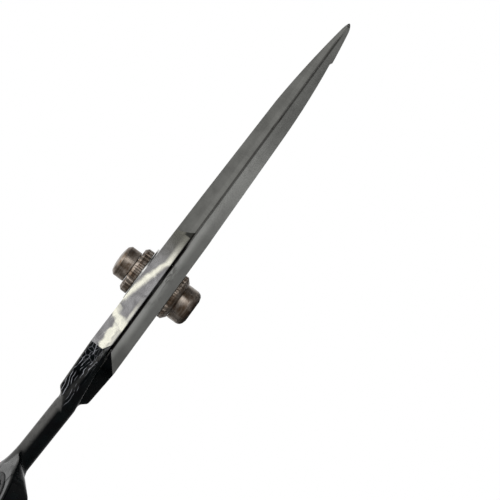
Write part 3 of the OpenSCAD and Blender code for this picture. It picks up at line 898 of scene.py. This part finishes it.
class Finish(Nodes):
    """A material being made: its nodes, with coordinates in millimetres on the object."""

    def __init__(self, name, **values):
        self.material = bpy.data.materials.new(name)
        self.material.use_nodes = True
        super().__init__(self.material.node_tree)
        self.shader = self.tree.nodes["Principled BSDF"]
        for key, value in values.items():
            self.shader.inputs[key.replace("_", " ")].default_value = value
        scale = self.add("ShaderNodeVectorMath", operation="SCALE")
        scale.inputs["Scale"].default_value = 1 / MM
        self.join(self.add("ShaderNodeTexCoord").outputs["Object"], scale.inputs[0])
        self.place = scale.outputs[0]

    def stretched(self, factors, turn=(0, 0, 0)):
        """The coordinates scaled along each axis, so that marks run long where a factor is small."""
        node = self.add("ShaderNodeMapping")
        node.inputs["Scale"].default_value = factors
        node.inputs["Rotation"].default_value = turn
        self.join(self.place, node.inputs["Vector"])
        return node.outputs[0]

    def warped(self, amount, at):
        """Coordinates pushed about by noise."""
        node = self.add("ShaderNodeTexNoise")
        node.inputs["Scale"].default_value = 0.9
        self.join(self.place, node.inputs["Vector"])
        push = self.add("ShaderNodeVectorMath", operation="SCALE")
        push.inputs["Scale"].default_value = amount
        self.join(node.outputs["Color"], push.inputs[0])
        total = self.add("ShaderNodeVectorMath", operation="ADD")
        self.join(at, total.inputs[0])
        self.join(push.outputs[0], total.inputs[1])
        return total.outputs[0]

    def noise(self, scale, detail=3, rough=0.5, at=None, warp=0):
        node = self.add("ShaderNodeTexNoise")
        node.inputs["Scale"].default_value = scale
        node.inputs["Detail"].default_value = detail
        node.inputs["Roughness"].default_value = rough
        node.inputs["Distortion"].default_value = warp
        self.join(at or self.place, node.inputs["Vector"])
        return node.outputs["Fac"]

    def cracks(self, scale, at=None, randomness=1.0):
        """Distance to the borders of random cells."""
        node = self.add("ShaderNodeTexVoronoi", feature="DISTANCE_TO_EDGE")
        node.inputs["Scale"].default_value = scale
        node.inputs["Randomness"].default_value = randomness
        self.join(at or self.place, node.inputs["Vector"])
        return node.outputs["Distance"]

    def part(self, axis):
        """One coordinate of the place, in millimetres."""
        node = self.add("ShaderNodeSeparateXYZ")
        self.join(self.place, node.inputs[0])
        return node.outputs[axis]

    def blend(self, share, a, b):
        """A colour between two, each a tuple or a socket."""
        node = self.add("ShaderNodeMix", data_type="RGBA")
        self.join(share, node.inputs["Factor"])
        for name, value in (("A", a), ("B", b)):
            socket = [s for s in node.inputs if s.name == name and s.type == "RGBA"][0]
            if isinstance(value, tuple):
                socket.default_value = value + (1,)
            else:
                self.join(value, socket)
        return [s for s in node.outputs if s.type == "RGBA"][0]

    def facing(self):
        """How far the surface looks up: 1 on top faces, 0 on walls, -1 underneath."""
        split = self.add("ShaderNodeSeparateXYZ")
        self.join(self.add("ShaderNodeNewGeometry").outputs["Normal"], split.inputs[0])
        return split.outputs["Z"]

    def paint_seam_shade(self, base, height, stops):
        """Painted shade on the walls along the joint between the halves: (near x, far x, half width, share)
        stops.
        """
        x = self.part("X")
        wall = self.levels(self.calc("ABSOLUTE", self.facing()), 0.97, 0.85)
        for near, far, wide, share in stops:
            here = self.levels(x, near - 1, near + 0.5)
            here = self.times(here, self.levels(x, far + 1, far - 1))
            mask = self.times(self.levels(height, wide + 0.1, wide - 0.12, 0, share), here)
            mask = self.times(mask, wall)
            base = self.blend(mask, base, SEAM_SHADE_TONE)
        return base

    def height(self):
        """Distance from the parting plane."""
        return self.calc("ABSOLUTE", self.calc("SUBTRACT", self.part("Z"), PARTING))

    def colour(self, socket):
        self.join(socket, self.shader.inputs["Base Color"])

    def roughness(self, socket):
        self.join(socket, self.shader.inputs["Roughness"])

    def bump(self, *layers):
        """Stacks of (height socket, depth in millimetres) on the surface."""
        last = None
        for height, depth in layers:
            node = self.add("ShaderNodeBump")
            node.inputs["Strength"].default_value = 1
            node.inputs["Distance"].default_value = depth * MM
            self.join(height, node.inputs["Height"])
            if last:
                self.join(last, node.inputs["Normal"])
            last = node.outputs[0]
        self.join(last, self.shader.inputs["Normal"])


def satin_steel(name, tone, stops, edge_highlight, seam_shade_stops):
    """Ground steel: fine lines across the blade, soft streaks and a tone that drifts along it, with a
    painted highlight band by the edge, painted light on faces that look up or down, and painted shade along
    the joint.
    """
    made = Finish(name, Metallic=1.0)
    lines = made.noise(1.0, 4, 0.65, made.stretched((7.0, 0.5, 0.5)))
    streak = made.noise(1.0, 3, 0.5, made.stretched((0.1, 0.5, 0.9)))
    cloud = made.noise(0.3, 4, 0.6)
    dark = tuple(c * 0.75 for c in tone)
    base = made.blend(made.levels(streak, 0.3, 0.7), tuple(c * 0.93 for c in tone), tone)
    base = made.blend(made.levels(cloud, 0.5, 0.75, 0, 0.35), base, dark)
    base = made.blend(made.levels(lines, 0.35, 0.7, 0, 0.25), base, tuple(c * 1.15 for c in tone))
    height = made.height()
    # Painted highlight: a lighter band along the edge by the parting plane.
    near, far, share = edge_highlight
    base = made.blend(made.levels(height, near, far, 0, share), base, tuple(c * 1.6 for c in tone))
    for near, far, share in stops:
        base = made.blend(made.levels(made.part("X"), near, far, 0, share), base, (0.02, 0.02, 0.018))
    # Painted light: faces that look up or down get a lighter tone than the side walls.
    flat = made.levels(made.calc("ABSOLUTE", made.facing()), 0.8, 0.95)
    ground = made.blend(made.levels(lines, 0.35, 0.7), LIT_FACE_TONE, tuple(c * 1.3 for c in LIT_FACE_TONE))
    base = made.blend(flat, base, ground)
    # Painted shade along the joint between the halves.
    made.colour(made.paint_seam_shade(base, height, seam_shade_stops))
    made.roughness(made.levels(made.plus(lines, cloud), 0.6, 1.4, 0.3, 0.46))
    made.bump((lines, 0.004), (cloud, 0.02))
    return made


def straight_steel():
    """The straight half's satin, with a painted highlight band beside its cutting edge."""
    seam_shade_stops = ((HEEL_X - 1, 40, 0.2, 0.75), (39, 61, 0.24, 0.5))
    return satin_steel("straight_satin", STRAIGHT_TONE, ((17, 13, 0.1),), (1.3, 1.0, 0.2), seam_shade_stops).material


def comb_steel():
    """The comb half's satin, with handling smears by the pivot and painted shade away from the parting
    plane.
    """
    seam_shade_stops = ((-18, 10, 0.42, 1), (9, 42, 0.34, 0.7), (41, 62, 0.36, 0.7))
    stops = ((-11, -17, 0.25), (12, 19, 0.35), (28, 42, 0.5))
    made = satin_steel("comb_satin", COMB_TONE, stops, (1.5, 0.8, 0.1), seam_shade_stops)
    base = made.shader.inputs["Base Color"].links[0].from_socket
    x, height = made.part("X"), made.height()
    # Painted shade: the comb half darkens away from the parting plane towards the heel and by the tail.
    low = made.times(made.levels(height, 0.8, 2.2, 0, 0.5), made.levels(x, 24, 12))
    tail = made.times(made.levels(height, 0.7, 2.0, 0, 0.55), made.levels(x, -7, -15))
    base = made.blend(made.calc("MAXIMUM", low, tail), base, (0.03, 0.03, 0.027))
    smear = made.noise(1.0, 5, 0.65, made.stretched((0.35, 0.7, 1.0), (0, 0.5, 0)), 0.8)
    near = made.times(made.levels(x, -6, -1), made.levels(x, 8, 3))
    mask = made.times(near, made.levels(height, 2.6, 0.8))
    mask = made.times(mask, made.levels(smear, 0.45, 0.6, 0, 0.75))
    made.colour(made.blend(mask, base, (0.045, 0.045, 0.04)))
    return made.material


def polished_steel():
    """The bright flat behind the heel. Its bright sweeps are painted reflections, placed by position on the
    flat.
    """
    made = Finish("ricasso_polish", Metallic=1.0)
    x, height = made.part("X"), made.height()
    drift = made.noise(0.45, 3, 0.5, None, 0.6)
    wander = made.levels(drift, 0.2, 0.8, -0.9, 0.9)

    def sweep(centre, at, soft, crisp):
        """A painted reflection stroke where a coordinate is near its centre line."""
        return made.levels(made.calc("ABSOLUTE", made.calc("SUBTRACT", centre, at)), soft, crisp)

    strayed = made.plus(x, wander)
    falling = made.plus(made.times(strayed, -REFLECTION_FALL), 2.5)
    main = sweep(made.calc("MAXIMUM", falling, 0.85), height, 1.0, 0.1)
    main = made.times(main, made.levels(x, 11, 3, 0.08, 1))
    level = made.plus(made.times(wander, 0.5), 1.75)
    end = made.times(sweep(level, height, 1.2, 0.45), made.levels(x, -9.5, -12))
    leaning = made.plus(made.times(height, 0.65), -11.2)
    across = sweep(leaning, strayed, 1.5, 0.3)
    foot = made.times(sweep(0.75, height, 0.5, 0.1), made.levels(x, -3, -8, 0, 0.6))
    bright = made.calc("MAXIMUM", main, made.calc("MAXIMUM", end, made.calc("MAXIMUM", across, foot)))
    marks = made.noise(2.4, 5, 0.7, made.stretched((0.35, 1.0, 1.6), (0, 0.4, 0)), 0.5)
    tone = made.blend(made.levels(drift, 0.35, 0.65), (0.23, 0.225, 0.23), (0.33, 0.325, 0.33))
    tone = made.blend(made.levels(x, 1, 12), tone, (0.11, 0.108, 0.092))
    # Painted reflection: the bright strokes turn the flat bright.
    tone = made.blend(bright, tone, (0.95, 0.93, 0.8))
    tone = made.blend(made.levels(marks, 0.55, 0.72, 0, 0.5), tone, (0.2, 0.19, 0.17))
    # Painted shadow: a dark arc where the heel's step meets the flat.
    heel_step_shade = made.times(made.levels(x, 11.3, 11.7), made.levels(height, 1.9, 1.4))
    tone = made.blend(heel_step_shade, tone, (0.03, 0.03, 0.027))
    # Painted shade along the joint under the flat.
    made.colour(made.paint_seam_shade(tone, height, ((-16, 13.5, 0.34, 1),)))
    made.roughness(made.levels(bright, 0, 1, 0.24, 0.13))
    made.bump((drift, 0.1), (marks, 0.002))
    return made.material


def black_coat(name, veined):
    """Glossy black coating, lighter where it faces up from wear, dust and a painted sheen, with light veins
    beside the steel.
    """
    made = Finish(name, Metallic=0.0, Specular_IOR_Level=0.045)
    smudge = made.noise(0.4, 5, 0.6)
    base = made.blend(made.levels(smudge, 0.4, 0.7), (0.001, 0.0013, 0.0017), (0.002, 0.004, 0.0045))
    x, z, facing = made.part("X"), made.part("Z"), made.facing()
    # Wear and dust together with a painted sheen: faces that look up get a lighter grey.
    worn_and_lit = made.levels(facing, 0.05, 0.5)
    worn_and_lit = made.times(worn_and_lit, made.levels(x, -50, -36, 0.08, 0.8))
    rub = made.times(worn_and_lit, made.levels(made.noise(0.9, 5, 0.65), 0.2, 0.6, 0.6, 1))
    base = made.blend(rub, base, (0.14, 0.138, 0.132))
    peel = made.noise(1.2, 2, 0.5)
    layers = [(peel, 0.002)]
    if veined:
        upper = made.levels(z, PARTING + 0.2, PARTING + 1.0)
        drift = made.noise(0.25, 3, 0.6, None, 0.6)
        upper = made.times(upper, made.levels(facing, 0.6, 0.3))
        veins = made.times(crackle(made, x, z, drift), upper)
        base = made.blend(veins, base, (0.4, 0.41, 0.45))
        layers.append((veins, -0.01))
    made.colour(base)
    made.roughness(made.levels(smudge, 0.35, 0.7, 0.2, 0.32))
    made.bump(*layers)
    return made.material


def crackle(made, x, z, drift):
    """Light veins in the coating: strands along the handle, and a fine net beside the weld."""
    lean = made.plus(made.times(z, 1.5), made.times(x, -0.07))
    lean = made.plus(lean, made.times(made.noise(0.16, 3, 0.5, None, 0.3), 5))
    strand = made.levels(made.calc("PINGPONG", lean, 0.5), 0.03, 0.13, 1, 0)
    broken = made.noise(1.0, 2, 0.5, made.stretched((0.12, 0.5, 1.3), (0, 0.1, 0)))
    strand = made.times(strand, made.levels(broken, 0.45, 0.6))
    strand = made.times(strand, made.levels(x, -32, -27))
    cells = made.cracks(1.2, made.warped(0.25, made.stretched((0.6, 0.6, 1.1), (0, -0.6, 0))))
    by_weld = made.times(made.levels(x, -21.5, -19), made.levels(drift, 0.7, 0.5, 0.2, 0.8))
    return made.calc("MAXIMUM", strand, made.times(made.levels(cells, 0.0, 0.04, 1, 0), by_weld))


def bronze_steel(name):
    """Turned steel with a dark bronze finish: lathe rings, dull stains and dark specks."""
    made = Finish(name, Metallic=1.0)
    rings = made.noise(1.0, 3, 0.6, made.stretched((0.12, 0.12, 4.0)))
    stain = made.noise(0.5, 5, 0.6, None, 0.5)
    specks = made.noise(3.0, 4, 0.7)
    tone = made.blend(made.levels(stain, 0.38, 0.62), (0.1, 0.068, 0.045), (0.24, 0.205, 0.175))
    tone = made.blend(made.levels(rings, 0.5, 0.7, 0, 0.45), tone, (0.33, 0.3, 0.27))
    tone = made.blend(made.levels(specks, 0.62, 0.75, 0, 0.6), tone, (0.05, 0.035, 0.025))
    made.colour(tone)
    made.roughness(made.levels(stain, 0.3, 0.7, 0.36, 0.26))
    made.bump((rings, 0.008), (specks, 0.002))
    return made.material


def rubber(name, tone):
    """Matte rubber with a fine moulded grain and a little dust."""
    made = Finish(name, Metallic=0.0, Specular_IOR_Level=0.35)
    grain = made.noise(5.0, 3, 0.6)
    dust = made.noise(0.7, 5, 0.65)
    dusty = (tone * 2, tone * 1.9, tone * 1.8)
    made.colour(made.blend(made.levels(dust, 0.5, 0.8), (tone, tone, tone), dusty))
    made.roughness(made.levels(dust, 0.3, 0.7, 0.62, 0.8))
    made.bump((grain, 0.02))
    return made.material


def machined(name, dark, light, rough):
    """Small turned pieces: rings of tone and fine tool marks."""
    made = Finish(name, Metallic=1.0)
    rings = made.noise(1.0, 3, 0.6, made.stretched((0.3, 0.3, 6.0)))
    wear = made.noise(0.9, 4, 0.6)
    made.colour(made.blend(made.levels(made.plus(rings, wear), 0.7, 1.3), dark, light))
    made.roughness(made.levels(wear, 0.3, 0.7, rough, rough + 0.14))
    made.bump((rings, 0.006))
    return made.material


def dark_plastic():
    """The low-friction washer: dull dark plastic with polished scuffs."""
    made = Finish("washer_plastic_dark", Metallic=0.0)
    scuff = made.noise(2.0, 4, 0.6)
    made.colour(made.blend(made.levels(scuff, 0.4, 0.7), (0.012, 0.012, 0.012), (0.03, 0.03, 0.03)))
    made.roughness(made.levels(scuff, 0.3, 0.7, 0.4, 0.6))
    made.bump((scuff, 0.01))
    return made.material


def refinish(material, *nodes):
    """Gives CAD nodes that stay as they are a better finish."""
    for node in nodes:
        for place in frame["nodes"][node].material_slots:
            place.material = material


# ---- the object ----

straight_blade()
comb_blade()
thumb_handle()
finger_handle()
finger_rest()
tension_dial()
lock_cap()
lock_collar()
pivot_bolt()
insert("thumb_insert_moulded", thumb_ring, "thumb_half", "thumb_insert")
insert("finger_insert_moulded", finger_ring, "finger_half", "finger_insert")
bumper()
screw = machined("screw_bright", (0.4, 0.4, 0.39), (0.62, 0.62, 0.6), 0.22)
refinish(screw, "thrust_washer", "spring_washer", "bumper_screw", "finger_rest_stud")
refinish(screw, "detent_ball", "detent_spring")
refinish(machined("bushing_brass_turned", (0.5, 0.36, 0.15), (0.74, 0.58, 0.3), 0.25), "pivot_bushing")
refinish(dark_plastic(), "ride_washer")


# ---- floor, light and camera ----

RING_CLEARANCE = 2.9
HEAD_EDGE_X = -2.3
RING_REACH = 57.7
FLOOR_HALF = 4000
VIEW_W = 100.0
VIEW_DISTANCE = 2400.0
RIGHT_X = 0.5911
RIGHT_Z = 0.8066
WINDOW_LIGHT = 0.95
SIDE_WINDOW = (0.42, -0.9, 0.12)
SIDE_LIGHT = 2.6
SHEET_LIGHT = 0.95
CEILING_LIGHT = 0.4
ZENITH_LIGHT = 1.5
ROOM_LIGHT = 0.07


def floor_height(x):
    """Level of the table at x, in millimetres of the row frame: the bolt head and rings touch it."""
    return (HEAD_EDGE_X - x) * RING_CLEARANCE / RING_REACH


def floor():
    """A pale table that the bolt head and both rings touch, so it leans a little to the tips."""
    half = FLOOR_HALF * MM
    lean = math.atan2(RING_CLEARANCE, RING_REACH)
    mesh = bpy.data.meshes.new("floor")
    corners = [(-half, -half, 0), (half, -half, 0), (half, half, 0), (-half, half, 0)]
    mesh.from_pydata(corners, [], [(0, 1, 2, 3)])
    plane = piece_of(mesh, "floor")
    mesh.transform(Matrix.Translation((HEAD_EDGE_X * MM, 0, 0)) @ Matrix.Rotation(lean, 4, "Y"))
    made = Finish("floor_pale", Metallic=0.0)
    grain = made.noise(0.02, 3, 0.5)
    made.colour(made.blend(grain, (0.93, 0.93, 0.93), (0.96, 0.96, 0.96)))
    made.shader.inputs["Roughness"].default_value = 0.8
    mesh.materials.append(made.material)


def surroundings():
    """A white room to the camera, and a soft studio to the metal: dark in front, bright above."""
    world = bpy.data.worlds.new("studio")
    world.use_nodes = True
    scene.world = world
    tree = world.node_tree
    tree.nodes.clear()
    made = Nodes(tree)

    def toward(*way):
        node = made.add("ShaderNodeVectorMath", operation="DOT_PRODUCT")
        node.inputs[1].default_value = way
        made.join(direction, node.inputs[0])
        return node.outputs["Value"]

    def lobe(way, soft, crisp, strength):
        """A soft light: from nothing at one angle off its direction to full at another."""
        ends = [math.cos(math.radians(angle)) for angle in (soft, crisp)]
        return made.levels(toward(*way), *ends, 0, strength)

    direction = made.add("ShaderNodeTexCoord").outputs["Generated"]
    window = lobe((0, -1, 0), 18, 6, WINDOW_LIGHT)
    beside = lobe(SIDE_WINDOW, 17, 7, SIDE_LIGHT)
    sheet = made.levels(toward(0, 1, 0), 0.35, 0.8, 0, SHEET_LIGHT)
    ceiling = made.levels(toward(0, 0, 1), 0, 1, 0, CEILING_LIGHT)
    zenith = made.levels(toward(0, 0, 1), 0.84, 0.98, 0, ZENITH_LIGHT)
    total = made.plus(made.plus(window, beside), ROOM_LIGHT)
    total = made.plus(total, made.plus(made.plus(ceiling, zenith), sheet))
    lit, white = (made.add("ShaderNodeBackground") for _ in range(2))
    for shown in (lit, white):
        shown.inputs["Color"].default_value = (1, 1, 1, 1)
    made.join(total, lit.inputs["Strength"])
    white.inputs["Strength"].default_value = 1.0
    choose = made.add("ShaderNodeMixShader")
    made.join(made.add("ShaderNodeLightPath").outputs["Is Camera Ray"], choose.inputs[0])
    made.join(lit.outputs[0], choose.inputs[1])
    made.join(white.outputs[0], choose.inputs[2])
    made.join(choose.outputs[0], made.add("ShaderNodeOutputWorld").inputs["Surface"])
    scene.view_settings.view_transform = "Standard"
    scene.view_settings.look = "None"


def lamp(name, place, size, power):
    """A square soft light aimed at the pivot."""
    light = bpy.data.lights.new(name, "AREA")
    light.size = size
    light.energy = power
    source = bpy.data.objects.new(name, light)
    source.location = place
    source.rotation_euler = (-Vector(place)).to_track_quat("-Z", "Y").to_euler()
    scene.collection.objects.link(source)


def camera():
    """A long lens square to the closed pair's edge, with the tips up and to the right.

    The lift puts the eye in the floor's plane, so the floor is edge-on and doesn't show. The shift
    only brings the framing back after the lift.
    """
    centre = Vector((16.7, 0, PARTING - 10.7))
    right = Vector((RIGHT_X, 0, -RIGHT_Z))
    up = Vector((RIGHT_Z, 0, RIGHT_X))
    lift = floor_height(centre.x) - centre.z
    data = bpy.data.cameras.new("camera")
    data.sensor_width = 36
    data.lens = data.sensor_width * VIEW_DISTANCE / VIEW_W
    data.shift_x = -lift * right.z / VIEW_W
    data.shift_y = -lift * up.z / VIEW_W
    data.clip_start = 0.05
    data.clip_end = 20
    eye = bpy.data.objects.new("camera", data)
    axes = Matrix((right, up, right.cross(up))).transposed().to_4x4()
    eye.matrix_world = Matrix.Translation((centre + Vector((0, -VIEW_DISTANCE, lift))) * MM) @ axes
    scene.collection.objects.link(eye)
    scene.camera = eye


floor()
surroundings()
lamp("overhead", (0.05, -0.3, 0.6), 0.5, 1.0)
camera()
